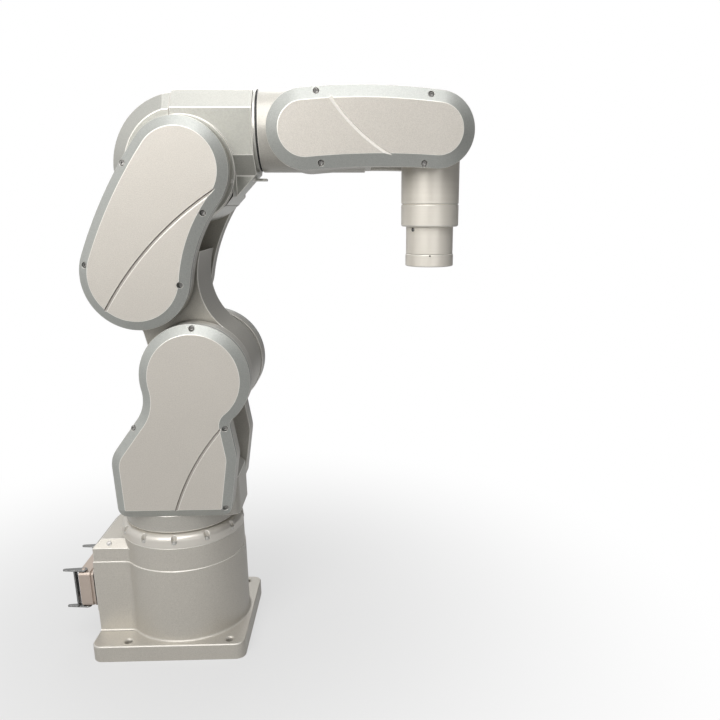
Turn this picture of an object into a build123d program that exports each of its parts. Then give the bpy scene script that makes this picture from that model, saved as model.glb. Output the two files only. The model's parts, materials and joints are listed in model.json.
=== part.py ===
# Six-axis industrial robot arm, millimetres, Z up, X forward, origin under the base on the turning axis
import os
from math import sqrt
from build123d import *

os.makedirs("parts", exist_ok=True)

# Joint centres in the side view
shoulder_x = 46.6
shoulder_z = 380.0
upper_arm_length = 240.0
elbow_z = shoulder_z + upper_arm_length
forearm_offset = 45.0
forearm_z = elbow_z + forearm_offset
wrist_reach = 288.4
wrist_x = shoulder_x + wrist_reach

# Running gaps and clear gaps
seam_gap = 0.3
clear_gap = 5.0
seat_gap = 0.05

# Base
column_radius = 82.0
rear_box_back_x = -112.0
plate_back_margin = 1.0
plate_front_margin = 6.0
plate_side_margin = 9.0
plate_back_x = rear_box_back_x - plate_back_margin
plate_front_x = column_radius + plate_front_margin
plate_half_width = column_radius + plate_side_margin
plate_height = 23.0
plate_corner_radius = 13.0
plate_edge_chamfer = 1.0
bevel_slope = 45.0
mount_edge_x = 21.0
mount_edge_y = 13.0
mount_hole_half_x = plate_front_x - mount_edge_x
mount_hole_half_y = plate_half_width - mount_edge_y
mount_hole_radius = 4.5
column_step = 1.2
column_step_z = 126.0
column_top_z = 158.0
column_foot_radius = 3.0
rear_box_half_width = 51.0
rear_box_top_z = 155.0
rear_box_bevel = 10.0
rear_box_corner_radius = 14.0
ring_inner_radius = 55.0
ring_height = 17.0
ring_top_z = column_top_z + ring_height
ring_roll_radius = 8.0
ring_screw_inset = 3.0
ring_screw_radius = column_radius - ring_screw_inset
ring_screw_count = 12
ring_screw_turn = 4.0
ring_pocket_depth = 11.0

# Rear connector
panel_thickness = 3.0
panel_half_width = 45.0
panel_half_height = 33.0
panel_corner_radius = 4.0
connector_z = 80.5
gasket_thickness = 2.0
connector_half_width = 42.0
connector_half_height = 25.5
connector_depth = 20.0
connector_wall = 4.0
connector_corner_radius = 5.0
connector_flange_thickness = 2.5
connector_neck_length = 2.0
connector_neck_inset = 2.0
insert_margin = 0.3
insert_recess = 3.0
lever_pivot_inset = 6.0
lever_pivot_back = 6.0
lever_pin_radius = 2.5
lever_pin_gap = 0.08
lever_plate = 2.0
lever_side_gap = 0.6
lever_arm_radius = 5.0
lever_tip_radius = 2.5
lever_reach = 25.0
lever_bar_reach = 10.5
lever_bar_width = 8.0

# Turret and shoulder ears
neck_radius = 74.0
neck_bottom_z = ring_top_z + seam_gap
ear_foot_z = 201.0
neck_top_z = ear_foot_z
spigot_top_z = 230.0
neck_chamfer = 3.0
spigot_radius = 50.0
spigot_bottom_z = 150.0
front_block_bottom_z = 186.0
front_block_top_z = 246.0
front_block_x = 84.0
front_block_half_width = 40.0
front_block_radius = 12.0
front_block_bevel = 9.0
web_back_x = -42.0
web_front_x = 50.0
hub_half_width = 41.0
ear_inner_y = hub_half_width + clear_gap
ear_seam_y = 66.0
shoulder_face_y = 82.0
shoulder_lobe_radius = 66.4
shoulder_boss_radius = 46.0
hub_radius = 65.0
saddle_radius = hub_radius + clear_gap + 2 * seam_gap
ear_foot_points = [
    (-62, ear_foot_z), (-64, 281), (6, 373), (82, 338), (91, 278), (79, ear_foot_z)]
ear_bulge_radius = 38.0
ear_foot_radius = 12.5
ear_back_waist_radius = 45.0
ear_front_waist_radius = 8.0
bevel_width = 11.5
bevel_depth = 8.0
groove_steep_width = 0.8
groove_shallow_width = 2.8
groove_depth = 1.3
pocket_radius = 3.4
pocket_sink = 2.0
shoulder_screw_points = [(48.2, 441.4), (-32.1, 319.6), (79.3, 317.5), (73.8, 213.2)]
shoulder_groove_centre = (305.0, 111.0)
shoulder_groove_radius = 310.0

# Upper arm
elbow_half_width = 46.0
fork_inner_y = elbow_half_width + clear_gap
drive_seam_y = 66.0
drive_face_y = 82.0
drive_lobe_radius = 55.5
drive_foot_x = -12.5
drive_foot_z = 502.2
drive_foot_radius = 63.0
drive_waist_radius = 180.0
drive_crown_radius = 550.0
drive_groove_centre = (303.0, 245.0)
drive_groove_radius = 414.0
drive_screw_points = [(-13.4, 625.4), (-66.7, 515.2), (71.2, 572.2), (39.5, 492.1)]
left_ear_face_y = 74.0
left_lobe_radius = 56.0
left_foot_x = -2.0
left_foot_z = 500.0
left_foot_radius = 54.0
left_waist_radius = 230.0
left_crown_radius = 1500.0
left_edge_chamfer = 4.0
bearing_cap_radius = 44.0
bearing_cap_height = 6.0
neck_rear_points = [(-30, 548), (-48, 500), (-44, 470), (-19, 432), (-12, 400)]
neck_waist_x = 52.5
neck_waist_z = 494.0
neck_upper_radius = 114.0
neck_upper_z = 548.0
elbow_sweep_radius = 87.5
crotch_radius = elbow_sweep_radius + clear_gap
bridge_radius = 46.0

# Elbow housing
elbow_top_z = elbow_z + elbow_sweep_radius
elbow_belly_radius = 60.0
elbow_front_x = 127.0
elbow_chamfer = 21.0
elbow_rear_bevel = 18.0
rear_cover_step = 2.2
elbow_back_x = shoulder_x - elbow_sweep_radius + rear_cover_step
elbow_boss_radius = 59.0
elbow_belly_points = [(60, 600), (92, 580), (elbow_front_x, 616), (elbow_front_x, 660), (47, 660)]
elbow_back_points = [(elbow_back_x, elbow_z), (-22, 582), (16, 567), (shoulder_x, elbow_z)]
rear_cover_front_x = 35.0
rear_cover_gap = 0.4
chin_back_x = 102.0
chin_half_width = 24.0
chin_top_z = 636.0
stop_tab_back_x = 112.0
stop_tab_front_x = 136.0
stop_tab_half_width = 8.0
stop_tab_bottom_z = 608.4
stop_tab_thickness = 3.0
barrel_radius = 46.5
front_ring_x = 130.0

# Forearm
seal_thickness = 2.0
seal_inset = 1.5
forearm_back_x = front_ring_x + seam_gap + seal_thickness
barrel_end_x = 255.0
fork_ear_inner_y = 41.0
forearm_seam_y = 54.0
forearm_face_y = 66.0
cover_back_x = 187.0
cover_back_radius = 43.7
cover_lead = 3.0
cover_drop = 2.6
cover_front_radius = 41.7
cover_waist_radius = 880.0
cover_crown_radius = 750.0
forearm_bevel_width = 14.0
forearm_bevel_depth = 9.0
forearm_groove_centre = (387.0, 815.0)
forearm_groove_radius = 207.0
forearm_screw_points = [(201.2, 701.9), (329.1, 698.9), (204.7, 626.4), (322.3, 626.0)]
slot_back_x = 262.0

# Wrist and tool flange
wrist_hub_radius = 36.0
wrist_hub_half_width = 36.0
wrist_boss_radius = 27.0
wrist_body_radius = 35.5
wrist_body_length = 83.0
wrist_groove_z = forearm_z - wrist_body_length
wrist_collar_length = 27.0
wrist_step_z = wrist_groove_z - wrist_collar_length
wrist_gear_length = 32.5
wrist_gear_radius = 29.3
wrist_collar_chamfer = 1.5
flange_top_z = wrist_step_z - wrist_gear_length
flange_thickness = 15.5
flange_bottom_z = flange_top_z - flange_thickness
flange_radius = 30.0
flange_pilot_radius = 12.5
flange_pilot_depth = 6.0
flange_hole_radius = 3.0
flange_hole_depth = 10.0
flange_pcd_radius = 20.0
flange_hole_count = 4
flange_edge_chamfer = 1.0


def side_plane(y):
    """Side-view plane at one Y, drawn in X and Z."""
    return Plane.XZ.offset(-y)


def nearest(shapes, x, z):
    return shapes.sort_by_distance((x, z, 0))[0]


def ear_outline():
    """Peanut outline of a shoulder ear: round shoulder lobe, waist and broad foot."""
    Polygon(*ear_foot_points, align=None)
    fillet([nearest(vertices(), *ear_foot_points[i]) for i in (0, -1)], ear_foot_radius)
    fillet([nearest(vertices(), *ear_foot_points[i]) for i in (1, -2)], ear_bulge_radius)
    with Locations((shoulder_x, shoulder_z)):
        Circle(shoulder_lobe_radius)
    back_waist = nearest(vertices(), shoulder_x - shoulder_lobe_radius, shoulder_z - shoulder_lobe_radius / 2)
    fillet(back_waist, ear_back_waist_radius)
    front_waist = nearest(vertices(), shoulder_x + shoulder_lobe_radius / 2, shoulder_z - shoulder_lobe_radius)
    fillet(front_waist, ear_front_waist_radius)


def lobed_outline(first, first_radius, second, second_radius, waist_radius, crown_radius, side):
    """Two round lobes with a crowned tangent arc on one side and a hollow tangent arc on the other."""
    a, b = Vector(*first), Vector(*second)
    span = (b - a).length
    along = (b - a).normalized()
    across = Vector(-along.Y, along.X) * side
    first_inset, second_inset = crown_radius - first_radius, crown_radius - second_radius
    crown_foot = (first_inset ** 2 - second_inset ** 2 + span ** 2) / (2 * span)
    crown = a + along * crown_foot - across * sqrt(first_inset ** 2 - crown_foot ** 2)
    first_crown = a + (a - crown) * (first_radius / first_inset)
    second_crown = b + (b - crown) * (second_radius / second_inset)
    first_arm, second_arm = first_radius + waist_radius, second_radius + waist_radius
    foot = (first_arm ** 2 - second_arm ** 2 + span ** 2) / (2 * span)
    hollow = a + along * foot - across * sqrt(first_arm ** 2 - foot ** 2)
    first_waist = a + (hollow - a) * (first_radius / first_arm)
    second_waist = b + (hollow - b) * (second_radius / second_arm)
    with BuildLine() as rim:
        ThreePointArc(first_crown, crown + across * crown_radius, second_crown)
        ThreePointArc(second_crown, b + along * second_radius, second_waist)
        ThreePointArc(second_waist, hollow + across * waist_radius, first_waist)
        ThreePointArc(first_waist, a - along * first_radius, first_crown)
    make_face(rim.edges())


def drive_outline():
    """Bean outline over the elbow drive: small lobe at the elbow, large lobe low at the back."""
    lobed_outline(
        (shoulder_x, elbow_z), drive_lobe_radius, (drive_foot_x, drive_foot_z), drive_foot_radius,
        drive_waist_radius, drive_crown_radius, -1)


def left_ear_outline():
    """Plain left ear of the upper arm, a slimmer copy of the bean."""
    lobed_outline(
        (shoulder_x, elbow_z), left_lobe_radius, (left_foot_x, left_foot_z), left_foot_radius,
        left_waist_radius, left_crown_radius, -1)


def forearm_outline():
    """Long capsule of the forearm sides, large lobe at the back and small lobe at the wrist."""
    lobed_outline(
        (cover_back_x, forearm_z - cover_drop), cover_back_radius,
        (wrist_x + cover_lead, forearm_z - cover_drop), cover_front_radius,
        cover_waist_radius, cover_crown_radius, 1)


def bevelled_cover(outline, seam_y, face_y, width, depth, groove_centre, groove_radius, groove_lean, screw_points, side):
    """Side cover: outline from its seam to its face, broad rim bevel, one curved groove and screw pockets."""
    with BuildPart() as cover:
        with BuildSketch(side_plane(side * (seam_y + seat_gap))):
            outline()
        extrude(amount=-side * (face_y - seam_y - seat_gap))
        face = cover.faces().sort_by(Axis.Y)[-1 if side > 0 else 0]
        chamfer(face.edges(), length=width, length2=depth, reference=face)
        axis_x, axis_z = groove_centre
        with BuildSketch(Plane.XY.offset(axis_z)):
            Polygon(
                (axis_x + groove_radius - groove_lean * groove_shallow_width, side * face_y),
                (axis_x + groove_radius, side * (face_y - groove_depth)),
                (axis_x + groove_radius + groove_lean * groove_steep_width, side * face_y), align=None)
        revolve(axis=Axis((axis_x, 0, axis_z), (0, 1, 0)), mode=Mode.SUBTRACT)
        with BuildSketch(side_plane(side * face_y)):
            with Locations(*screw_points):
                Circle(pocket_radius)
        extrude(amount=side * (depth + pocket_sink), mode=Mode.SUBTRACT)
    return cover


# Base casting: bolted plate, round column and the rear box that carries the connector
bevel_bottom_z = rear_box_top_z - rear_box_bevel
with BuildPart() as base_casting:
    plate_mid_x = (plate_back_x + plate_front_x) / 2
    with BuildSketch(Plane.XY):
        with Locations((plate_mid_x, 0)):
            RectangleRounded(plate_front_x - plate_back_x, 2 * plate_half_width, plate_corner_radius)
        with GridLocations(2 * mount_hole_half_x, 2 * mount_hole_half_y, 2, 2):
            Circle(mount_hole_radius, mode=Mode.SUBTRACT)
    extrude(amount=plate_height)
    rim = base_casting.faces().sort_by(Axis.Z)[-1].outer_wire().edges()
    chamfer(rim, plate_edge_chamfer)
    box_mid_x = rear_box_back_x / 2
    for inset, low, high in ((0, plate_height, column_step_z), (column_step, column_step_z, bevel_bottom_z)):
        with BuildSketch(Plane.XY.offset(low)):
            Circle(column_radius - inset)
            with Locations((box_mid_x, 0)):
                Rectangle(-rear_box_back_x - 2 * inset, 2 * (rear_box_half_width - inset))
            fillet(vertices().group_by(Axis.X)[-1], rear_box_corner_radius)
        extrude(amount=high - low)
    with BuildSketch(Plane.XY.offset(bevel_bottom_z)):
        Circle(column_radius - column_step)
    extrude(amount=column_top_z - bevel_bottom_z)
    with BuildSketch(Plane.XY.offset(bevel_bottom_z)):
        with Locations((box_mid_x, 0)):
            Rectangle(-rear_box_back_x - 2 * column_step, 2 * (rear_box_half_width - column_step))
    extrude(amount=rear_box_bevel, taper=bevel_slope)
    foot_edges = [e for e in base_casting.edges() if abs(e.center().Z - plate_height) < seam_gap
                  and e.center().X > rear_box_back_x + rear_box_corner_radius
                  and abs(e.center().Y) < plate_half_width - plate_edge_chamfer - seam_gap
                  and e.center().X < plate_front_x - mount_edge_x]
    fillet(foot_edges, column_foot_radius)
    with BuildSketch(Plane.XY.offset(column_top_z)):
        Circle(ring_inner_radius)
    extrude(amount=spigot_bottom_z - seam_gap - column_top_z - clear_gap, mode=Mode.SUBTRACT)
base_casting.part.label = "base_casting"
export_step(base_casting.part, "parts/base_casting.step")

# Fixed ring on top of the column, with a broad rounded rim and screw pockets open at the side
with BuildPart() as base_top_ring:
    with BuildSketch(Plane.XY.offset(column_top_z + seat_gap)):
        Circle(column_radius - column_step)
        Circle(ring_inner_radius, mode=Mode.SUBTRACT)
    extrude(amount=ring_height - seat_gap)
    ring_rim = base_top_ring.faces().sort_by(Axis.Z)[-1].outer_wire().edges()
    fillet(ring_rim, ring_roll_radius)
    with BuildSketch(Plane.XY.offset(ring_top_z)):
        with PolarLocations(ring_screw_radius, ring_screw_count, start_angle=ring_screw_turn):
            Circle(pocket_radius)
    extrude(amount=-ring_pocket_depth, mode=Mode.SUBTRACT)
base_top_ring.part.label = "base_top_ring"
export_step(base_top_ring.part, "parts/base_top_ring.step")

# Rear connector panel, gasket, housing and insert, stacked outwards from the box
panel_x = rear_box_back_x - seat_gap
gasket_x = panel_x - panel_thickness - seat_gap
housing_x = gasket_x - gasket_thickness - seat_gap
pivot_x = housing_x - connector_depth + lever_pivot_back
pivot_y = connector_half_width - lever_pivot_inset
lever_inner_z = connector_half_height + lever_side_gap
lever_outer_z = lever_inner_z + lever_plate


def rear_plane(x):
    """Plane facing backwards at one X, drawn in Y and Z."""
    return Plane(origin=(x, 0, connector_z), x_dir=(0, -1, 0), z_dir=(-1, 0, 0))


with BuildPart() as connector_panel:
    with BuildSketch(rear_plane(panel_x)):
        RectangleRounded(2 * panel_half_width, 2 * panel_half_height, panel_corner_radius)
    extrude(amount=panel_thickness)
connector_panel.part.label = "connector_panel"
export_step(connector_panel.part, "parts/connector_panel.step")

with BuildPart() as connector_gasket:
    with BuildSketch(rear_plane(gasket_x)):
        RectangleRounded(2 * connector_half_width, 2 * connector_half_height, connector_corner_radius)
    extrude(amount=gasket_thickness)
connector_gasket.part.label = "connector_gasket"
export_step(connector_gasket.part, "parts/connector_gasket.step")

# Housing with a flange, a narrower neck behind it and a block that is hollow at the back
neck_x = housing_x - connector_flange_thickness
block_x = neck_x - connector_neck_length
block_length = connector_depth - connector_flange_thickness - connector_neck_length
with BuildPart() as connector_housing:
    for inset, start_x, length in (
            (0, housing_x, connector_flange_thickness), (connector_neck_inset, neck_x, connector_neck_length),
            (0, block_x, block_length)):
        with BuildSketch(rear_plane(start_x)):
            RectangleRounded(
                2 * (connector_half_width - inset), 2 * (connector_half_height - inset), connector_corner_radius)
        extrude(amount=length)
    with BuildSketch(rear_plane(neck_x)):
        RectangleRounded(
            2 * (connector_half_width - connector_wall), 2 * (connector_half_height - connector_wall),
            connector_corner_radius - connector_wall / 2)
    extrude(amount=connector_depth, mode=Mode.SUBTRACT)
    for end in (-1, 1):
        for side in (-1, 1):
            pin_plane = Plane(
                origin=(pivot_x, side * pivot_y, connector_z + end * (connector_half_height - connector_wall / 2)),
                z_dir=(0, 0, end))
            with BuildSketch(pin_plane):
                Circle(lever_pin_radius)
            extrude(amount=connector_wall / 2 + lever_side_gap + lever_plate + lever_side_gap)
connector_housing.part.label = "connector_housing"
export_step(connector_housing.part, "parts/connector_housing.step")

with BuildPart() as connector_insert:
    with BuildSketch(rear_plane(neck_x - seat_gap)):
        RectangleRounded(
            2 * (connector_half_width - connector_wall - insert_margin),
            2 * (connector_half_height - connector_wall - insert_margin),
            connector_corner_radius - connector_wall / 2)
    extrude(amount=connector_depth - connector_flange_thickness - insert_recess)
connector_insert.part.label = "connector_insert"
export_step(connector_insert.part, "parts/connector_insert.step")

# Two locking levers, one at each end of the housing, on pins that stand out of its long sides
def connector_lever(side):
    """Lever of two tapered arms, above and below the housing, with one bar between them behind it."""
    pivot = (pivot_x, side * pivot_y)
    tip_x = pivot_x - lever_reach
    arm_corners = [(x, side * pivot_y + edge * radius) for x, edge, radius in (
        (pivot_x, -1, lever_arm_radius), (pivot_x, 1, lever_arm_radius),
        (tip_x, 1, lever_tip_radius), (tip_x, -1, lever_tip_radius))]
    with BuildPart() as lever:
        for end in (-1, 1):
            arm_plane = Plane(origin=(0, 0, connector_z + end * (lever_inner_z + lever_plate / 2)))
            with BuildSketch(arm_plane):
                with Locations(pivot):
                    Circle(lever_arm_radius)
                with Locations((tip_x, side * pivot_y)):
                    Circle(lever_tip_radius)
                Polygon(*arm_corners, align=None)
                with Locations(pivot):
                    Circle(lever_pin_radius + lever_pin_gap, mode=Mode.SUBTRACT)
            extrude(amount=lever_plate / 2, both=True)
        with BuildSketch(Plane.XY.offset(connector_z)):
            with Locations((pivot_x - lever_bar_reach - lever_plate / 2, side * pivot_y)):
                Rectangle(lever_plate, lever_bar_width)
        extrude(amount=lever_inner_z + lever_plate / 2, both=True)
    return lever


for side_name, side in (("right", -1), ("left", 1)):
    lever = connector_lever(side)
    lever.part.label = "connector_lever_" + side_name
    export_step(lever.part, "parts/connector_lever_" + side_name + ".step")

# Turret: round neck, front block, web between the ears and the two ears with their bearing bosses
with BuildPart() as turret_casting:
    with BuildSketch(Plane.XY.offset(neck_bottom_z)):
        Circle(neck_radius)
    extrude(amount=neck_top_z - neck_bottom_z)
    chamfer(turret_casting.faces().sort_by(Axis.Z)[0].edges(), neck_chamfer)
    with BuildSketch(Plane.XY.offset(spigot_bottom_z)):
        Circle(spigot_radius)
    extrude(amount=spigot_top_z - spigot_bottom_z)
    for low, high, slope in (
            (front_block_bottom_z, front_block_top_z - front_block_bevel, 0),
            (front_block_top_z - front_block_bevel, front_block_top_z, bevel_slope)):
        with BuildSketch(Plane.XY.offset(low)):
            RectangleRounded(2 * front_block_x, 2 * front_block_half_width, front_block_radius)
            with Locations((-front_block_x, 0)):
                Rectangle(2 * front_block_x, 2 * front_block_half_width, mode=Mode.SUBTRACT)
        extrude(amount=high - low, taper=slope)
    web_top_z = shoulder_z - saddle_radius
    with BuildSketch(side_plane(-ear_inner_y)):
        with Locations(((web_back_x + web_front_x) / 2, (front_block_bottom_z + web_top_z) / 2)):
            Rectangle(web_front_x - web_back_x, web_top_z - front_block_bottom_z)
    extrude(amount=-2 * ear_inner_y)
    for side in (-1, 1):
        with BuildSketch(side_plane(side * ear_inner_y)):
            ear_outline()
        extrude(amount=-side * (ear_seam_y - ear_inner_y))
        with BuildSketch(side_plane(side * ear_inner_y)):
            with Locations((shoulder_x, shoulder_z)):
                Circle(shoulder_boss_radius)
        extrude(amount=side * (clear_gap - seam_gap))
turret_casting.part.label = "turret_casting"
export_step(turret_casting.part, "parts/turret_casting.step")

for side_name, side in (("right", -1), ("left", 1)):
    cover = bevelled_cover(
        ear_outline, ear_seam_y, shoulder_face_y, bevel_width, bevel_depth,
        shoulder_groove_centre, shoulder_groove_radius, 1, shoulder_screw_points, side)
    cover.part.label = "shoulder_cover_" + side_name
    export_step(cover.part, "parts/shoulder_cover_" + side_name + ".step")

def neck_waist(radius, z):
    """Point at one height on a hollow arc that is upright at the waist of the upper arm."""
    return (neck_waist_x + radius - sqrt(radius ** 2 - (z - neck_waist_z) ** 2), z)


# The lower waist arc runs tangent into the hub
waist_dx, waist_dz = neck_waist_x - shoulder_x, neck_waist_z - shoulder_z
neck_lower_radius = (waist_dx ** 2 + waist_dz ** 2 - hub_radius ** 2) / (2 * (hub_radius - waist_dx))
hub_share = hub_radius / (hub_radius + neck_lower_radius)
hub_tangent = (shoulder_x + (waist_dx + neck_lower_radius) * hub_share, shoulder_z + waist_dz * hub_share)

# Upper arm: hub, neck, drive housing on the right ear and a plain left ear
with BuildPart() as upper_arm_casting:
    with BuildSketch(side_plane(-hub_half_width)):
        with Locations((shoulder_x, shoulder_z)):
            Circle(hub_radius)
        with BuildLine() as neck_rim:
            Polyline(
                neck_waist(neck_upper_radius, neck_upper_z), *neck_rear_points, (shoulder_x, shoulder_z), hub_tangent)
            ThreePointArc(
                hub_tangent, neck_waist(neck_lower_radius, (hub_tangent[1] + neck_waist_z) / 2),
                (neck_waist_x, neck_waist_z))
            ThreePointArc(
                (neck_waist_x, neck_waist_z), neck_waist(neck_upper_radius, (neck_upper_z + neck_waist_z) / 2),
                neck_waist(neck_upper_radius, neck_upper_z))
        make_face(neck_rim.edges())
    extrude(amount=-2 * hub_half_width)
    with BuildSketch(side_plane(-drive_seam_y)):
        drive_outline()
    extrude(amount=-(drive_seam_y - fork_inner_y))
    with BuildSketch(side_plane(-fork_inner_y)):
        with Locations((drive_foot_x, drive_foot_z)):
            Circle(bridge_radius)
    extrude(amount=-(fork_inner_y + hub_half_width))
    with BuildSketch(side_plane(fork_inner_y)):
        left_ear_outline()
    extrude(amount=-(left_ear_face_y - fork_inner_y))
    left_face = upper_arm_casting.faces().sort_by(Axis.Y)[-1]
    chamfer(left_face.edges(), left_edge_chamfer)
    with BuildSketch(side_plane(hub_half_width)):
        with Locations((left_foot_x, left_foot_z)):
            Circle(bridge_radius)
    extrude(amount=-(fork_inner_y - hub_half_width))
    with BuildSketch(side_plane(-fork_inner_y)):
        with Locations((shoulder_x, elbow_z)):
            Circle(crotch_radius)
    extrude(amount=-2 * fork_inner_y, mode=Mode.SUBTRACT)
upper_arm_casting.part.label = "upper_arm_casting"
export_step(upper_arm_casting.part, "parts/upper_arm_casting.step")

elbow_drive_cover = bevelled_cover(
    drive_outline, drive_seam_y, drive_face_y, bevel_width, bevel_depth,
    drive_groove_centre, drive_groove_radius, 1, drive_screw_points, -1)
elbow_drive_cover.part.label = "elbow_drive_cover"
export_step(elbow_drive_cover.part, "parts/elbow_drive_cover.step")

with BuildPart() as elbow_bearing_cap:
    with BuildSketch(side_plane(left_ear_face_y + seat_gap)):
        with Locations((shoulder_x, elbow_z)):
            Circle(bearing_cap_radius)
    extrude(amount=-bearing_cap_height)
    chamfer(elbow_bearing_cap.faces().sort_by(Axis.Y)[-1].edges(), left_edge_chamfer)
elbow_bearing_cap.part.label = "elbow_bearing_cap"
export_step(elbow_bearing_cap.part, "parts/elbow_bearing_cap.step")


def forearm_plane(x):
    """Plane across the forearm axis at one X."""
    return Plane(origin=(x, 0, forearm_z), x_dir=(0, 1, 0), z_dir=(1, 0, 0))


def elbow_solid(sweep_radius, half_width):
    """Whole elbow in the side view: round back, flat top with broad bevels, round belly."""
    with BuildSketch(side_plane(-half_width)) as profile:
        with Locations((shoulder_x, elbow_z)):
            Circle(sweep_radius)
        front_span = 2 * sweep_radius
        with Locations((shoulder_x + front_span / 2, elbow_z)):
            Rectangle(front_span, 2 * front_span, mode=Mode.SUBTRACT)
        with Locations((shoulder_x, elbow_z - front_span / 2)):
            Rectangle(2 * front_span, front_span, mode=Mode.SUBTRACT)
        with Locations((shoulder_x, elbow_z)):
            Circle(elbow_belly_radius)
        Polygon(*elbow_belly_points, align=None)
        Polygon(*elbow_back_points, align=None)
        with Locations(((shoulder_x + elbow_front_x) / 2, elbow_z + sweep_radius / 2)):
            Rectangle(elbow_front_x - shoulder_x, sweep_radius)
    extrude(profile.sketch, amount=-2 * half_width)
    top_drop = elbow_z + sweep_radius - forearm_z
    for side in (-1, 1):
        with BuildSketch(forearm_plane(shoulder_x)) as wedge:
            Polygon(
                (side * half_width, top_drop - elbow_chamfer), (side * half_width, top_drop),
                (side * (half_width - elbow_chamfer), top_drop), align=None)
        extrude(wedge.sketch, amount=front_span, both=True, mode=Mode.SUBTRACT)


# Elbow housing with its bearing bosses, narrow chin and stop tab, and its rear cover behind one upright seam
with BuildPart() as elbow_housing:
    elbow_solid(elbow_sweep_radius, elbow_half_width)
    split(bisect_by=Plane.YZ.offset(rear_cover_front_x), keep=Keep.TOP)
    chin_drop = forearm_z - chin_top_z
    chin_bevel = elbow_half_width - chin_half_width
    for side in (-1, 1):
        with BuildSketch(forearm_plane(chin_back_x)):
            Polygon(
                (side * elbow_half_width, -chin_drop), (side * chin_half_width, -chin_drop - chin_bevel),
                (side * chin_half_width, -forearm_z), (side * elbow_half_width, -forearm_z), align=None)
        extrude(amount=elbow_front_x - chin_back_x, mode=Mode.SUBTRACT)
        with BuildSketch(side_plane(side * elbow_half_width)):
            with Locations((shoulder_x, elbow_z)):
                Circle(elbow_boss_radius)
        extrude(amount=-side * (clear_gap - seam_gap))
    with BuildSketch(Plane.XY.offset(stop_tab_bottom_z)):
        with Locations(((stop_tab_back_x + stop_tab_front_x) / 2, 0)):
            Rectangle(stop_tab_front_x - stop_tab_back_x, 2 * stop_tab_half_width)
    extrude(amount=stop_tab_thickness)
elbow_housing.part.label = "elbow_housing"
export_step(elbow_housing.part, "parts/elbow_housing.step")

with BuildPart() as elbow_rear_cover:
    elbow_solid(elbow_sweep_radius - rear_cover_step, elbow_half_width - seat_gap)
    split(bisect_by=Plane.YZ.offset(rear_cover_front_x - rear_cover_gap), keep=Keep.BOTTOM)
    cover_half_width = elbow_half_width - seat_gap
    for side in (-1, 1):
        with BuildSketch(Plane.XY.offset(elbow_z)):
            Polygon(
                (elbow_back_x + elbow_rear_bevel, side * cover_half_width),
                (elbow_back_x - elbow_rear_bevel, side * cover_half_width),
                (elbow_back_x - elbow_rear_bevel, side * (cover_half_width - 2 * elbow_rear_bevel)), align=None)
        revolve(axis=Axis((shoulder_x, 0, elbow_z), (0, 1, 0)), mode=Mode.SUBTRACT)
elbow_rear_cover.part.label = "elbow_rear_cover"
export_step(elbow_rear_cover.part, "parts/elbow_rear_cover.step")

with BuildPart() as elbow_front_ring:
    with BuildSketch(forearm_plane(elbow_front_x + seat_gap)):
        Circle(barrel_radius)
    extrude(amount=front_ring_x - elbow_front_x - seat_gap)
elbow_front_ring.part.label = "elbow_front_ring"
export_step(elbow_front_ring.part, "parts/elbow_front_ring.step")

# Forearm: dark seal at the turning seam, round barrel, fork for the wrist and the two side covers
with BuildPart() as forearm_seal_ring:
    with BuildSketch(forearm_plane(front_ring_x + seam_gap)):
        Circle(barrel_radius - seal_inset)
    extrude(amount=seal_thickness)
forearm_seal_ring.part.label = "forearm_seal_ring"
export_step(forearm_seal_ring.part, "parts/forearm_seal_ring.step")

with BuildPart() as forearm_casting:
    with BuildSketch(forearm_plane(forearm_back_x + seat_gap)):
        Circle(barrel_radius)
    extrude(amount=barrel_end_x - forearm_back_x - seat_gap)
    with BuildSketch(side_plane(-forearm_seam_y)):
        forearm_outline()
    extrude(amount=-2 * forearm_seam_y)
    with BuildSketch(side_plane(-fork_ear_inner_y)):
        slot_length = 2 * (wrist_x - slot_back_x)
        with Locations((slot_back_x + slot_length / 2, forearm_z)):
            Rectangle(slot_length, 4 * barrel_radius)
    extrude(amount=-2 * fork_ear_inner_y, mode=Mode.SUBTRACT)
    for side in (-1, 1):
        with BuildSketch(side_plane(side * fork_ear_inner_y)):
            with Locations((wrist_x, forearm_z)):
                Circle(wrist_boss_radius)
        extrude(amount=side * (fork_ear_inner_y - wrist_hub_half_width - seam_gap))
forearm_casting.part.label = "forearm_casting"
export_step(forearm_casting.part, "parts/forearm_casting.step")

for side_name, side in (("right", -1), ("left", 1)):
    cover = bevelled_cover(
        forearm_outline, forearm_seam_y, forearm_face_y, forearm_bevel_width, forearm_bevel_depth,
        forearm_groove_centre, forearm_groove_radius, -1, forearm_screw_points, side)
    cover.part.label = "forearm_cover_" + side_name
    export_step(cover.part, "parts/forearm_cover_" + side_name + ".step")


def wrist_plane(z):
    """Plane across the wrist axis at one Z, facing down."""
    return Plane(origin=(wrist_x, 0, z), x_dir=(1, 0, 0), z_dir=(0, 0, -1))


# Wrist: hub across the fork, turned body below it, collar, slimmer gear housing and the tool flange
with BuildPart() as wrist_housing:
    with BuildSketch(side_plane(-wrist_hub_half_width)):
        with Locations((wrist_x, forearm_z)):
            Circle(wrist_hub_radius)
    extrude(amount=-2 * wrist_hub_half_width)
    with BuildSketch(wrist_plane(forearm_z)):
        Circle(wrist_body_radius)
    extrude(amount=forearm_z - wrist_groove_z)
wrist_housing.part.label = "wrist_housing"
export_step(wrist_housing.part, "parts/wrist_housing.step")

with BuildPart() as wrist_collar:
    with BuildSketch(wrist_plane(wrist_groove_z - seat_gap)):
        Circle(wrist_body_radius)
    extrude(amount=wrist_groove_z - seat_gap - wrist_step_z)
    for face in wrist_collar.faces().filter_by(GeomType.PLANE):
        chamfer(face.edges(), wrist_collar_chamfer)
wrist_collar.part.label = "wrist_collar"
export_step(wrist_collar.part, "parts/wrist_collar.step")

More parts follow.
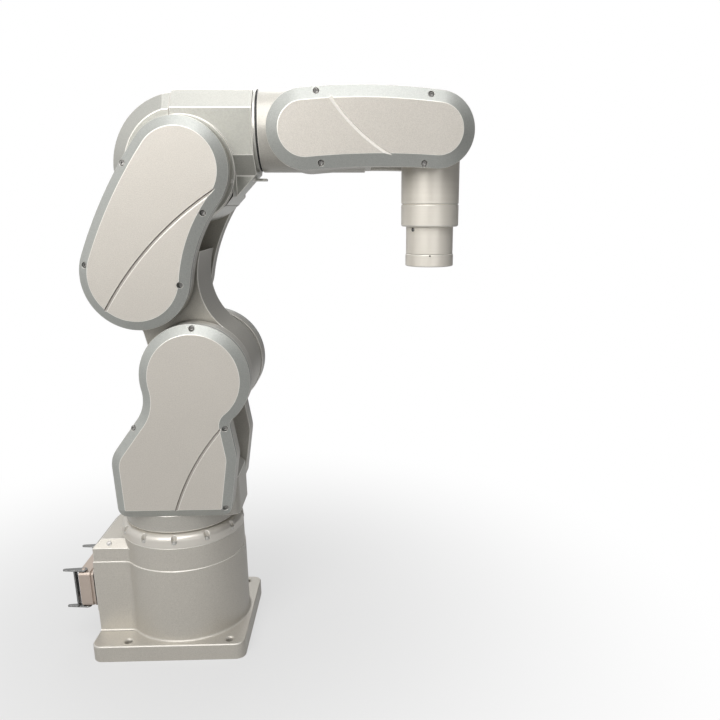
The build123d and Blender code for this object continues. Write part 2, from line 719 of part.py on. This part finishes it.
with BuildPart() as wrist_gear_housing:
    with BuildSketch(wrist_plane(wrist_step_z - seat_gap)):
        Circle(wrist_gear_radius)
    extrude(amount=wrist_step_z - seat_gap - flange_top_z)
wrist_gear_housing.part.label = "wrist_gear_housing"
export_step(wrist_gear_housing.part, "parts/wrist_gear_housing.step")

with BuildPart() as tool_flange:
    with BuildSketch(wrist_plane(flange_top_z - seam_gap)):
        Circle(flange_radius)
    extrude(amount=flange_top_z - seam_gap - flange_bottom_z)
    chamfer(tool_flange.edges(), flange_edge_chamfer)
    with BuildSketch(wrist_plane(flange_bottom_z)):
        Circle(flange_pilot_radius)
    extrude(amount=-flange_pilot_depth, mode=Mode.SUBTRACT)
    with BuildSketch(wrist_plane(flange_bottom_z)):
        with PolarLocations(flange_pcd_radius, flange_hole_count):
            Circle(flange_hole_radius)
    extrude(amount=-flange_hole_depth, mode=Mode.SUBTRACT)
tool_flange.part.label = "tool_flange"
export_step(tool_flange.part, "parts/tool_flange.step")
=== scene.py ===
import json
import math

import bmesh
import bpy
import numpy as np
from mathutils import Matrix, Vector


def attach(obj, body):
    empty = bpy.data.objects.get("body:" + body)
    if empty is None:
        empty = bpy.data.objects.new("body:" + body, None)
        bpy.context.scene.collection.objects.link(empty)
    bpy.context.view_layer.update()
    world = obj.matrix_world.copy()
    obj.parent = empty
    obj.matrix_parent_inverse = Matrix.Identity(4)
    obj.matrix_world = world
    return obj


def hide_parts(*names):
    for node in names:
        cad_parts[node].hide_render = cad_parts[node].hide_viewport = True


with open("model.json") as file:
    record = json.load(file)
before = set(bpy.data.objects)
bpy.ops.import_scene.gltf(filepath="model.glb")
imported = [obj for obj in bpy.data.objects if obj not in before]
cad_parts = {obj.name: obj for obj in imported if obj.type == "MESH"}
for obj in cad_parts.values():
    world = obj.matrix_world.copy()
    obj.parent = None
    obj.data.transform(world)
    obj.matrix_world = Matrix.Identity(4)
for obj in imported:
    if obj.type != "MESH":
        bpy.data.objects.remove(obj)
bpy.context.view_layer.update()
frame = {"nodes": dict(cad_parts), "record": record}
print("frame loaded:", len(frame["nodes"]), "nodes")
scene = bpy.context.scene
scene.view_settings.view_transform = "Standard"
mm = 0.001
wristX = 335.0  # the wrist's upright axis, in millimetres


# one socket of a material; arithmetic on it adds Math nodes, add() brings in any other node
class Sock:
    def __init__(self, tree, out):
        self.tree, self.out = tree, out

    def add(self, kind, settings=None, values=None, out=0):
        node = self.tree.nodes.new(kind)
        for key, val in (settings or {}).items():
            setattr(node, key, val)
        for key, val in (values or {}).items():
            if isinstance(val, Sock):
                self.tree.links.new(val.out, node.inputs[key])
            else:
                node.inputs[key].default_value = val
        return Sock(self.tree, node.outputs[out])

    def math(self, op, *args):
        return self.add("ShaderNodeMath", {"operation": op}, dict(enumerate(args)))

    def vector(self, op, *args, out=0):
        return self.add("ShaderNodeVectorMath", {"operation": op}, dict(enumerate((self,) + args)), out)

    # runs softly from start to end while the socket goes from low to high
    def ease(self, low, high, start=0.0, end=1.0):
        return self.add("ShaderNodeMapRange", {"interpolation_type": "SMOOTHSTEP"},
                        {0: self, 1: low, 2: high, 3: start, 4: end})

    def larger(self, b): return self.math("MAXIMUM", self, b)
    def __add__(self, b): return self.math("ADD", self, b)
    def __radd__(self, b): return self.math("ADD", b, self)
    def __sub__(self, b): return self.math("SUBTRACT", self, b)
    def __rsub__(self, b): return self.math("SUBTRACT", b, self)
    def __mul__(self, b): return self.math("MULTIPLY", self, b)
    def __rmul__(self, b): return self.math("MULTIPLY", b, self)
    def __pow__(self, b): return self.math("POWER", self, b)


def newFinish(name, metallic=0.0):
    mat = bpy.data.materials.new(name)
    mat.use_nodes = True
    tree = mat.node_tree
    tree.nodes.clear()
    end = tree.nodes.new("ShaderNodeOutputMaterial")
    shader = tree.nodes.new("ShaderNodeBsdfPrincipled")
    shader.inputs["Metallic"].default_value = metallic
    tree.links.new(shader.outputs[0], end.inputs["Surface"])
    place = Sock(tree, tree.nodes.new("ShaderNodeTexCoord").outputs["Object"])
    return mat, shader, place


def feed(shader, **sockets):
    for name, val in sockets.items():
        shader.id_data.links.new(val.out, shader.inputs[name.replace("_", " ")])


def noise(place, scale, detail=2.0):
    return place.add("ShaderNodeTexNoise", None, {"Vector": place, "Scale": scale, "Detail": detail})


def between(share, low, high):
    return share.add("ShaderNodeMix", {"data_type": "RGBA"}, {0: share, 6: low + (1,), 7: high + (1,)}, 2)


# two noises about a mean roughness; a noise itself has a mean of a half
def unevenGloss(rough, fine, fineShare, broad, broadShare):
    return fine * fineShare + broad * broadShare + (rough - (fineShare + broadShare) / 2)


def grainBump(height, strength, depth):
    return height.add("ShaderNodeBump", None, {"Height": height, "Strength": strength, "Distance": depth})


paintGrain = dict(cloudScale=9.0, cloudShare=0.3, fleckShare=0.2, peelShare=0.5, peelScale=0.5, peelContrast=3.6)


# silver paint: slow clouding, fine flecks that shift tone and gloss, and a fine grain
def silverPaint(name, low, high, metallic, rough, fleckScale=1500.0, grain=0.25):
    mat, shader, place = newFinish(name, metallic)
    look, contrast = paintGrain, paintGrain["peelContrast"]
    cloud = noise(place, look["cloudScale"], 3.0)
    fleck = noise(place, fleckScale, 1.0)
    peel = noise(place, fleckScale * look["peelScale"], 2.0)
    tone = (cloud * look["cloudShare"] + fleck * look["fleckShare"]
            + (peel * contrast - (contrast - 1) / 2) * look["peelShare"])
    feed(shader, Base_Color=between(tone, low, high), Roughness=unevenGloss(rough, fleck, 0.14, cloud, 0.08),
         Normal=grainBump(fleck + peel, grain, 0.0003))
    return mat


silverLooks = dict(
    castSilver=dict(low=(0.45, 0.435, 0.395), high=(0.55, 0.53, 0.485), metallic=0.42, rough=0.40),
    coverSilver=dict(low=(0.53, 0.50, 0.455), high=(0.66, 0.625, 0.57), metallic=0.30, rough=0.44,
                     fleckScale=1900.0, grain=0.40),
    flankSilver=dict(low=(0.385, 0.395, 0.375), high=(0.485, 0.495, 0.47), metallic=0.48, rough=0.45, grain=0.20),
    baseSilver=dict(low=(0.52, 0.495, 0.445), high=(0.63, 0.60, 0.545), metallic=0.40, rough=0.40),
    armSilver=dict(low=(0.37, 0.355, 0.315), high=(0.46, 0.44, 0.395), metallic=0.66, rough=0.38),
    housingSilver=dict(low=(0.45, 0.45, 0.415), high=(0.55, 0.545, 0.505), metallic=0.74, rough=0.32),
    # darker copy of the housing tone for the elbow's flat sides: painted shade
    housingSideShade=dict(low=(0.32, 0.32, 0.29), high=(0.395, 0.39, 0.355), metallic=0.50, rough=0.36),
    # groove wall and groove ramp: darker tones that are painted shade inside a cover's groove
    grooveShadeSilver=dict(low=(0.20, 0.185, 0.165), high=(0.27, 0.25, 0.225), metallic=0.25, rough=0.55, grain=0.20),
    rampShadeSilver=dict(low=(0.34, 0.315, 0.285), high=(0.42, 0.39, 0.355), metallic=0.25, rough=0.50, grain=0.20),
    # pale tone for the forearm covers' groove: a painted highlight along the groove
    grooveHighlightSilver=dict(low=(0.82, 0.79, 0.74), high=(0.93, 0.90, 0.85), metallic=0.20, rough=0.40,
                    fleckScale=1200.0, grain=0.10),
    # pale finish of the rounded edges: a painted highlight along every edge
    edgeHighlightSilver=dict(low=(0.78, 0.76, 0.71), high=(0.88, 0.86, 0.81), metallic=0.35, rough=0.34,
                    fleckScale=1200.0, grain=0.08))
finishes = {name: silverPaint(name, **look) for name, look in silverLooks.items()}


# turned metal: fine rings about an upright axis, from noise on the distance from it and the height
def turnedMetal(name, low, high, metallic, rough, axisPlace):
    mat, shader, place = newFinish(name, metallic)
    centred = place.vector("SUBTRACT", axisPlace)
    parts = centred.add("ShaderNodeSeparateXYZ", None, {0: centred})
    across, along, up = (Sock(parts.tree, out) for out in parts.out.node.outputs)
    reach = (across * across + along * along) ** 0.5
    rings = place.add("ShaderNodeCombineXYZ", None, {0: reach, 2: up})
    fine, broad = noise(rings, 2600.0), noise(rings, 240.0, 1.0)
    smear = noise(place, 14.0, 3.0)
    feed(shader, Base_Color=between(broad * 0.5 + smear * 0.5, low, high),
         Roughness=unevenGloss(rough, fine, 0.12, smear, 0.10), Normal=grainBump(fine, 0.10, 0.0002))
    return mat


turnedLooks = dict(
    wristTurned=dict(low=(0.80, 0.755, 0.675), high=(0.93, 0.885, 0.80), metallic=0.20, rough=0.34,
                     axisPlace=(wristX * mm, 0, 0)),
    baseTurned=dict(low=(0.66, 0.63, 0.575), high=(0.79, 0.755, 0.695), metallic=0.32, rough=0.36,
                    axisPlace=(0, 0, 0)))
finishes.update({name: turnedMetal(name, **look) for name, look in turnedLooks.items()})


# plain finish with a fine fleck in tone, gloss and height
def fleckFinish(name, low, high, metallic, rough, scale, grain):
    mat, shader, place = newFinish(name, metallic)
    fleck, cloud = noise(place, scale), noise(place, scale * 0.05, 3.0)
    feed(shader, Base_Color=between(fleck * 0.5 + cloud * 0.5, low, high),
         Roughness=unevenGloss(rough, fleck, 0.12, cloud, 0.10), Normal=grainBump(fleck, grain, 0.0003))
    return mat


fleckLooks = dict(
    darkRubber=dict(low=(0.010, 0.010, 0.010), high=(0.030, 0.030, 0.030), metallic=0.0, rough=0.62,
                    scale=900.0, grain=0.30),
    connectorMetal=dict(low=(0.47, 0.395, 0.34), high=(0.61, 0.52, 0.455), metallic=0.45, rough=0.42,
                        scale=1100.0, grain=0.30),
    insertPlastic=dict(low=(0.10, 0.10, 0.10), high=(0.16, 0.16, 0.155), metallic=0.0, rough=0.48,
                       scale=700.0, grain=0.15),
    leverSteel=dict(low=(0.19, 0.19, 0.19), high=(0.34, 0.34, 0.335), metallic=0.95, rough=0.28,
                    scale=500.0, grain=0.05),
    screwSteel=dict(low=(0.27, 0.265, 0.255), high=(0.42, 0.41, 0.395), metallic=0.85, rough=0.34,
                    scale=900.0, grain=0.12),
    zincSteel=dict(low=(0.50, 0.49, 0.465), high=(0.66, 0.65, 0.62), metallic=0.60, rough=0.32,
                   scale=900.0, grain=0.12))
finishes.update({name: fleckFinish(name, **look) for name, look in fleckLooks.items()})
print("finishes made:", len(finishes))

bodyOf = {node: body for body, nodes in frame["record"]["behaviour"]["bodies"].items() for node in nodes}

# merging distance in millimetres, then degrees: where two CAD surfaces meet in a crease, what is flat, what is rounded
edgeRules = dict(weld=0.01, crease=4, flat=0.5, rounded=19)
roundedFrom = dict(forearm_casting=38)  # degrees; the shallow runs of its barrel into the fork stay sharp
roundedTo = dict(base_casting=0.083)  # metres along X; the thin strip in front of the column stays sharp
# how squarely a face looks sideways: flat face of a cover, ramp of its groove, steep wall of its groove; ramp and wall
# pick the faces that get the groove's painted shade and painted highlight
sideways = dict(face=0.97, ramp=0.88, wall=(0.4, 0.65))


# place of a face's finish among the five: face, rounding, flank, groove wall, groove ramp
def layerOf(lean, flank, wall, ramp):
    low, high = sideways["wall"]
    if not flank or lean > sideways["face"]:
        return 0
    if ramp and lean > sideways["ramp"]:
        return 4
    return 3 if wall and low < lean < high else 2


# stands for a CAD node: its own merged surface, creased where the CAD surface is,
# with every sharp edge rounded and the rounding in a finish of its own,
# by default a pale one that is a painted highlight along the edge
def soften(node, finish, width=0.4, edge="edgeHighlightSilver", flank=None, wall=None, ramp=None):
    mesh = frame["nodes"][node].data.copy()
    mesh.materials.clear()
    for layer in (finish, edge, flank or finish, wall or finish, ramp or finish):
        mesh.materials.append(finishes[layer])
    facing = np.empty(len(mesh.loops) * 3, np.float32)
    mesh.corner_normals.foreach_get("vector", facing)
    mesh.attributes.new("facing", "FLOAT_VECTOR", "CORNER").data.foreach_set("vector", facing)
    work = bmesh.new()
    work.from_mesh(mesh)
    bmesh.ops.remove_doubles(work, verts=work.verts, dist=edgeRules["weld"] * mm)
    facing = work.loops.layers.float_vector["facing"]
    smoothFrom = math.cos(math.radians(edgeRules["crease"]))
    for line in work.edges:
        sides = list(line.link_loops)
        if len(sides) == 2:
            (a, b), (c, d) = ((side[facing], side.link_loop_next[facing]) for side in sides)
            line.smooth = min(a.dot(d), b.dot(c)) > smoothFrom
    bmesh.ops.dissolve_limit(work, angle_limit=math.radians(edgeRules["flat"]), verts=work.verts, edges=work.edges)
    bmesh.ops.recalc_face_normals(work, faces=work.faces)
    weight = work.edges.layers.float.new("bevel_weight_edge")
    for face in work.faces:
        face.smooth, face.material_index = True, layerOf(abs(face.normal.y), flank, wall, ramp)
    steepFrom = math.radians(roundedFrom.get(node, edgeRules["rounded"]))
    for line in work.edges:
        middle = (line.verts[0].co + line.verts[1].co) / 2
        steep = not line.smooth and line.calc_face_angle(0) > steepFrom
        plain = all(face.material_index != 3 for face in line.link_faces)  # the groove's wall stays sharp
        line[weight] = float(steep and plain and middle.x < roundedTo.get(node, 1))
    work.to_mesh(mesh)
    work.free()
    piece = bpy.data.objects.new("soft_" + node, mesh)
    scene.collection.objects.link(piece)
    rounding = piece.modifiers.new("rounding", "BEVEL")
    rounding.width, rounding.segments, rounding.limit_method = width * mm, 2, "WEIGHT"
    rounding.use_clamp_overlap, rounding.material, rounding.miter_outer = False, 1, "MITER_ARC"
    shading = piece.modifiers.new("shading", "WEIGHTED_NORMAL")
    shading.keep_sharp, shading.weight = True, 100
    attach(piece, bodyOf[node])
    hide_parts(node)


# on these covers the groove's wall and ramp take darker finishes: painted shade in the groove
grooveShadedCover = dict(finish="coverSilver", flank="flankSilver", wall="grooveShadeSilver", ramp="rampShadeSilver")
# on the forearm covers the groove's wall and ramp take a pale finish: a painted highlight along the groove
grooveHighlightCover = dict(finish="coverSilver", flank="flankSilver", wall="grooveHighlightSilver", ramp="grooveHighlightSilver")
# the elbow housing's flat sides are darker than its other faces: painted shade
elbowShellShadedSides = dict(finish="housingSideShade", flank="housingSilver", width=0.8)
lockLever = dict(finish="leverSteel", edge="leverSteel")
softLooks = dict(
    base_casting=dict(finish="baseSilver"),
    base_top_ring=dict(finish="baseTurned", width=0.5),
    connector_panel=dict(finish="baseSilver"),
    connector_housing=dict(finish="connectorMetal", edge="connectorMetal", width=0.6),
    turret_casting=dict(finish="castSilver", width=0.9),
    shoulder_cover_right=grooveShadedCover,
    shoulder_cover_left=grooveShadedCover,
    upper_arm_casting=dict(finish="armSilver", width=0.9),
    elbow_drive_cover=grooveShadedCover,
    elbow_bearing_cap=grooveShadedCover,
    elbow_housing=elbowShellShadedSides,
    elbow_rear_cover=elbowShellShadedSides,
    elbow_front_ring=dict(finish="housingSilver"),
    forearm_casting=dict(finish="castSilver", width=0.9),
    forearm_cover_right=grooveHighlightCover,
    forearm_cover_left=grooveHighlightCover,
    wrist_housing=dict(finish="wristTurned", width=0.5),
    wrist_collar=dict(finish="wristTurned"),
    wrist_gear_housing=dict(finish="wristTurned", width=0.3),
    tool_flange=dict(finish="wristTurned", width=0.3),
    connector_lever_right=lockLever,
    connector_lever_left=lockLever)
for node, look in softLooks.items():
    soften(node, **look)
print("edges softened on", len(softLooks), "nodes")

plainLooks = dict(connector_gasket="darkRubber", forearm_seal_ring="darkRubber", connector_insert="insertPlastic")
for node, finish in plainLooks.items():
    mesh = frame["nodes"][node].data
    mesh.materials.clear()
    mesh.materials.append(finishes[finish])

# profiles as shares of the radius and the height, and whether the row is six-sided: a socket screw and a low dome
screwRows = np.array([(0, 0, 0), (1, 0, 0), (1, .84, 0), (.97, .94, 0), (.88, 1, 0), (.66, 1, 0), (.6, .94, 0),
                      (.52, .92, 1), (.52, .45, 1), (.5, .40, 1), (0, .36, 0)])
domeRows = np.array([(0, 0, 0), (1, 0, 0), (1, .55, 0), (.92, .8, 0), (.7, .95, 0), (.35, 1, 0), (0, 1, 0)])


def unit(rows):
    return rows / np.linalg.norm(rows, axis=1, keepdims=True)


# a field of screws: each row of the profile is carried once round the axis, six-sided rows reach
# their corners by one over the cosine of the angle from the nearest flat
def screwField(name, body, spots, axes, radius, height, rows=screwRows, finish="screwSteel", slot="lever_steel",
               turns=48):
    spots, axes = np.atleast_2d(spots) * mm, unit(np.atleast_2d(np.asarray(axes, float)))
    side = unit(np.cross(axes, np.where(np.abs(axes[:, :1]) < 0.9, [[1.0, 0, 0]], [[0, 1.0, 0]])))
    over = np.cross(axes, side)
    angle = np.arange(turns) * 2 * np.pi / turns
    corner = 1 / np.cos((angle + np.pi / 6) % (np.pi / 3) - np.pi / 6)
    reach = rows[:, :1] * np.where(rows[:, 2:] > 0, corner[None], 1.0) * radius * mm
    rise = rows[:, 1:2] * height * mm + 0 * angle[None]
    grid = (spots[:, None, None] + side[:, None, None] * (reach * np.cos(angle))[None, ..., None]
            + over[:, None, None] * (reach * np.sin(angle))[None, ..., None]
            + axes[:, None, None] * rise[None, ..., None])
    rowStart = np.arange(len(rows) - 1)[:, None] * turns
    first = (rowStart + np.arange(turns)[None]).ravel()
    nextOne = (rowStart + (np.arange(turns) + 1)[None] % turns).ravel()
    quads = np.stack([first, nextOne, nextOne + turns, first + turns], 1)
    quads = (quads[None] + (np.arange(len(spots)) * len(rows) * turns)[:, None, None]).reshape(-1, 4)
    mesh = bpy.data.meshes.new(name)
    mesh.from_pydata(grid.reshape(-1, 3), [], quads.tolist())
    work = bmesh.new()
    work.from_mesh(mesh)
    bmesh.ops.remove_doubles(work, verts=work.verts, dist=0.001 * mm)  # closes both poles
    bmesh.ops.recalc_face_normals(work, faces=work.faces)
    work.to_mesh(mesh)
    work.free()
    mesh.polygons.foreach_set("use_smooth", np.ones(len(mesh.polygons), bool))
    mesh.set_sharp_from_angle(angle=math.radians(35))
    mesh.materials.append(finishes[finish])
    piece = bpy.data.objects.new(name, mesh)
    scene.collection.objects.link(piece)
    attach(piece, body)


# sizes of all screws are in millimetres
socketHead = dict(radius=2.75, height=3.4)

# cover screws: the seat's distance from the middle plane, and each place in the side view
coverScrews = [
    dict(name="shoulderScrews", body="turret", seat=72.0, sides=(-1, 1),
         spots=[(48.2, 441.4), (-32.1, 319.6), (79.3, 317.5), (73.8, 213.2)]),
    dict(name="driveScrews", body="upper_arm", seat=72.0, sides=(-1,),
         spots=[(-13.4, 625.4), (-66.7, 515.2), (71.2, 572.2), (39.5, 492.1)]),
    dict(name="forearmScrews", body="forearm", seat=55.0, sides=(-1, 1),
         spots=[(201.2, 701.9), (329.1, 698.9), (204.7, 626.4), (322.3, 626.0)])]
for kind in coverScrews:
    spots = [(x, side * kind["seat"], z) for side in kind["sides"] for x, z in kind["spots"]]
    screwField(kind["name"], kind["body"], spots, [(0, np.sign(p[1]), 0) for p in spots], **socketHead)

ringScrews = dict(reach=79.0, seat=164.0, count=12, turn=4.0)
ringTurn = np.radians(ringScrews["turn"]) + np.arange(ringScrews["count"]) * 2 * np.pi / ringScrews["count"]
ringSpots = np.stack([ringScrews["reach"] * np.cos(ringTurn), ringScrews["reach"] * np.sin(ringTurn),
                      0 * ringTurn + ringScrews["seat"]], 1)
screwField("ringScrews", "base", ringSpots, np.tile([0, 0, 1.0], (ringScrews["count"], 1)), finish="zincSteel",
           **socketHead)


# one screw on either side of the middle plane, its axis outwards and upwards by rise
def screwPair(name, body, spot, rise, **look):
    x, y, z = spot
    screwField(name, body, [(x, side * y, z) for side in (-1, 1)], [(0, side, rise) for side in (-1, 1)], **look)


boxScrews = dict(spot=(-89.6, 44.8, 150.0), rise=1, radius=3.2, height=0.9)
screwPair("boxScrews", "base", **boxScrews)
discScrews = dict(spot=(101.0, 50.6, 607.0), rise=0, radius=2.3, height=1.2, finish="zincSteel")
screwPair("discScrews", bodyOf["elbow_housing"], **discScrews)

# locking plug under the wrist collar and index dot of the tool flange
collarPlug = dict(angle=221.0, reach=28.6, z=551.6, radius=2.4, height=1.8)
plugTurn = math.radians(collarPlug["angle"])
plugAxis = np.array([math.cos(plugTurn), math.sin(plugTurn), 0])
plugSpot = np.array([wristX, 0, collarPlug["z"]]) + plugAxis * collarPlug["reach"]
screwField("collarPlug", bodyOf["wrist_gear_housing"], plugSpot, plugAxis, collarPlug["radius"], collarPlug["height"],
           domeRows, "leverSteel")
indexDot = dict(spots=(wristX - 2, -29.8, 520.6), axes=(0, -1, 0), radius=1.0, height=0.45)
screwField("indexDot", bodyOf["tool_flange"], **indexDot, rows=domeRows, finish="darkRubber", slot="dark_rubber")
print("screws made")

# camera solved from the photograph: place, angles in radians, lens and its shift
view = dict(place=(0.24648, -0.927997, 0.580783), pitch=0.288, turn=0.039, roll=0.001,
            lens=36.0, sensor=36.0, shift=(-0.0388, 0.0808), clip=(0.01, 50))
cp, sp = math.cos(view["pitch"]), math.sin(view["pitch"])
ct, st = math.cos(view["turn"]), math.sin(view["turn"])
cr, sr = math.cos(view["roll"]), math.sin(view["roll"])
ahead = Vector((st * cp, ct * cp, -sp))
right = Vector((ct, -st, 0))
down = ahead.cross(right)
right, down = cr * right + sr * down, cr * down - sr * right
camData = bpy.data.cameras.new("camera")
camData.sensor_width, camData.lens = view["sensor"], view["lens"]
camData.shift_x, camData.shift_y = view["shift"]
camData.clip_start, camData.clip_end = view["clip"]
cam = bpy.data.objects.new("camera", camData)
turnRows = Matrix((right, -down, -ahead)).transposed()
cam.matrix_world = Matrix.Translation(view["place"]) @ turnRows.to_4x4()
scene.collection.objects.link(cam)
scene.camera = cam


# one for rays from the camera, and a share of it for mirror and see-through rays, so metal shows the backdrop too
def backdropRays(tree, share):
    rays = tree.nodes.new("ShaderNodeLightPath")
    kinds = ("Is Camera Ray", "Is Glossy Ray", "Is Transmission Ray")
    direct, mirrored, through = (Sock(tree, rays.outputs[kind]) for kind in kinds)
    return direct.larger(mirrored.larger(through) * share)


# pale floor that keeps the shadow near the object and fades to the white of the backdrop further out;
# metal sees less of that white towards +X
floorLook = dict(half=6.0, grey=0.40, rough=0.8, fade=dict(low=0.05, high=0.8, start=0.62, end=1.0),
                 mirror=dict(low=0.3, high=1.1, start=0.55, end=0.12))
half = floorLook["half"]
floorMesh = bpy.data.meshes.new("floor")
floorMesh.from_pydata([(-half, -half, 0), (half, -half, 0), (half, half, 0), (-half, half, 0)], [], [(0, 1, 2, 3)])
floor = bpy.data.objects.new("floor", floorMesh)
scene.collection.objects.link(floor)
floorMat, floorShader, floorPlace = newFinish("floorPaint")
floorShader.inputs["Base Color"].default_value = (floorLook["grey"],) * 3 + (1,)
floorShader.inputs["Roughness"].default_value = floorLook["rough"]
floorTree = floorMat.node_tree
fade = floorPlace.vector("LENGTH", out=1).ease(**floorLook["fade"])
across = floorPlace.add("ShaderNodeSeparateXYZ", None, {0: floorPlace})
seen = backdropRays(floorTree, across.ease(**floorLook["mirror"]))
glow = floorPlace.add("ShaderNodeEmission", None, {"Color": (1, 1, 1, 1), "Strength": 1.0})
paint = Sock(floorTree, floorShader.outputs[0])
blend = floorPlace.add("ShaderNodeMixShader", None, {0: fade * seen, 1: paint, 2: glow})
floorEnd = next(node for node in floorTree.nodes if node.type == "OUTPUT_MATERIAL")
floorTree.links.new(blend.out, floorEnd.inputs["Surface"])
floorMesh.materials.append(floorMat)

# studio: white to the camera; matt surfaces get the dim light, and metal sees side walls that brighten
# towards the roof and a little towards the rear; both darken towards +X
studioLook = dict(dim=0.15, sideWall=0.28, rearShare=0.1,
                  roof=((-0.45, -0.1, 0.88), dict(low=0.05, high=0.8)),
                  rear=((0, 1, 0), dict(low=0.3, high=0.95)),
                  shade=((1, 0, 0), dict(low=0.1, high=0.9, start=1.0, end=0.3)))
world = bpy.data.worlds.new("studio")
scene.world = world
world.use_nodes = True
worldTree = world.node_tree
back = worldTree.nodes["Background"]
back.inputs["Color"].default_value = (1, 1, 1, 1)
dim, sideWall = studioLook["dim"], studioLook["sideWall"]
sky = Sock(worldTree, worldTree.nodes.new("ShaderNodeTexCoord").outputs["Generated"])
roof, rear, shade = (sky.vector("DOT_PRODUCT", way, out=1).ease(**span)
                     for way, span in (studioLook[key] for key in ("roof", "rear", "shade")))
backdrop = (roof.larger(rear * studioLook["rearShare"]) * (1 - sideWall) + sideWall) * shade
strength = backdropRays(worldTree, backdrop) * (1 - dim * shade) + dim * shade
worldTree.links.new(strength.out, back.inputs["Strength"])


def softLamp(name, place, aim, size, power, colour=(1, 1, 1)):
    data = bpy.data.lights.new(name, "AREA")
    data.shape, data.size, data.energy, data.color = "SQUARE", size, power, colour
    lamp = bpy.data.objects.new(name, data)
    lamp.location = place
    lamp.rotation_euler = (Vector(aim) - Vector(place)).to_track_quat("-Z", "Y").to_euler()
    scene.collection.objects.link(lamp)


lamps = dict(
    keyLamp=dict(place=(-0.5, -1.35, 1.25), aim=(0.1, 0, 0.45), size=0.9, power=15, colour=(1, 0.985, 0.96)),
    topLamp=dict(place=(0.2, -0.8, 1.9), aim=(0.1, 0, 0.4), size=1.0, power=12),
    roofLamp=dict(place=(0.05, 0.45, 1.9), aim=(0.1, 0, 0.6), size=0.9, power=2.8),
    fillLamp=dict(place=(1.0, -1.7, 0.5), aim=(0.1, 0, 0.4), size=1.0, power=3.2),
    backLamp=dict(place=(-0.1, 1.5, 1.75), aim=(0.1, 0, 0.4), size=0.8, power=7))
for name, look in lamps.items():
    softLamp(name, **look)
print("camera and light set")
